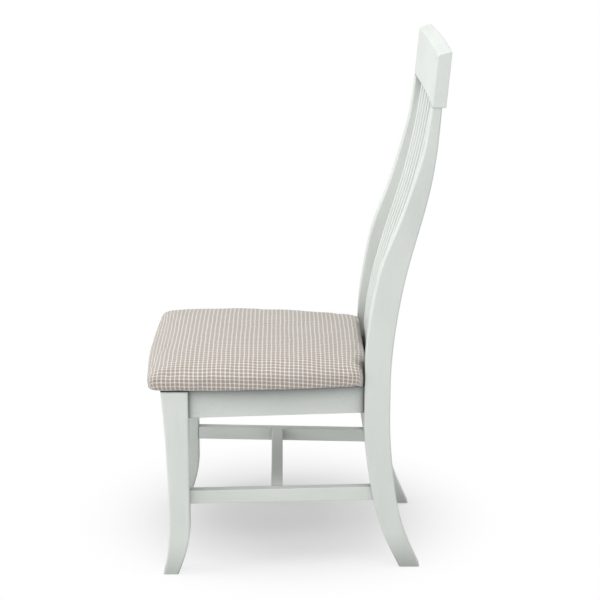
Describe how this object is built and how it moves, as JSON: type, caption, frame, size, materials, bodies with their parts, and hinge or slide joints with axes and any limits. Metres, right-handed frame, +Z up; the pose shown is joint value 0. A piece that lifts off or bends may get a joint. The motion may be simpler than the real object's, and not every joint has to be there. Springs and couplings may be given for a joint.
{
  "type": "upholstered side chair",
  "caption": "Side chair with a curved slatted back, a deep crest rail, an H stretcher and a padded checked fabric seat on a painted wooden frame.",
  "frame": {"origin": "on the floor under the middle of the chair's bounding box", "axes": "+Z up, the sitter faces -Y, +X is the sitter's left"},
  "size_m": [0.4572, 0.5796, 1.0496],
  "materials": {
    "painted_wood": "satin sage-white paint on beech",
    "bare_wood": "bare planed beech",
    "plywood": "sanded birch plywood",
    "foam": "open-cell polyurethane foam",
    "seat_fabric": "woven check of thin off-white lines on taupe",
    "dust_cloth": "black non-woven cloth",
    "zinc_steel": "zinc plated",
    "staple_steel": "galvanised wire",
    "nylon": "moulded nylon"
  },
  "bodies": {
    "root": {"back_slat_1": "painted_wood", "back_slat_2": "painted_wood", "back_slat_3": "painted_wood", "back_slat_4": "painted_wood", "back_slat_5": "painted_wood", "back_slat_6": "painted_wood", "corner_block_screws": "zinc_steel", "cover_staples": "staple_steel", "crest_dowels": "bare_wood", "crest_rail": "painted_wood", "cross_stretcher": "painted_wood", "dust_cover": "dust_cloth", "dust_cover_staples": "staple_steel", "front_apron": "painted_wood", "left_apron": "painted_wood", "left_front_corner_block": "bare_wood", "left_front_glide": "nylon", "left_front_leg": "painted_wood", "left_rear_corner_block": "bare_wood", "left_rear_glide": "nylon", "left_rear_post": "painted_wood", "left_stretcher": "painted_wood", "rear_apron": "painted_wood", "right_apron": "painted_wood", "right_front_corner_block": "bare_wood", "right_front_glide": "nylon", "right_front_leg": "painted_wood", "right_rear_corner_block": "bare_wood", "right_rear_glide": "nylon", "right_rear_post": "painted_wood", "right_stretcher": "painted_wood", "seat_board": "plywood", "seat_cover": "seat_fabric", "seat_foam": "foam", "seat_screws": "zinc_steel"}
  },
  "joints": []
}
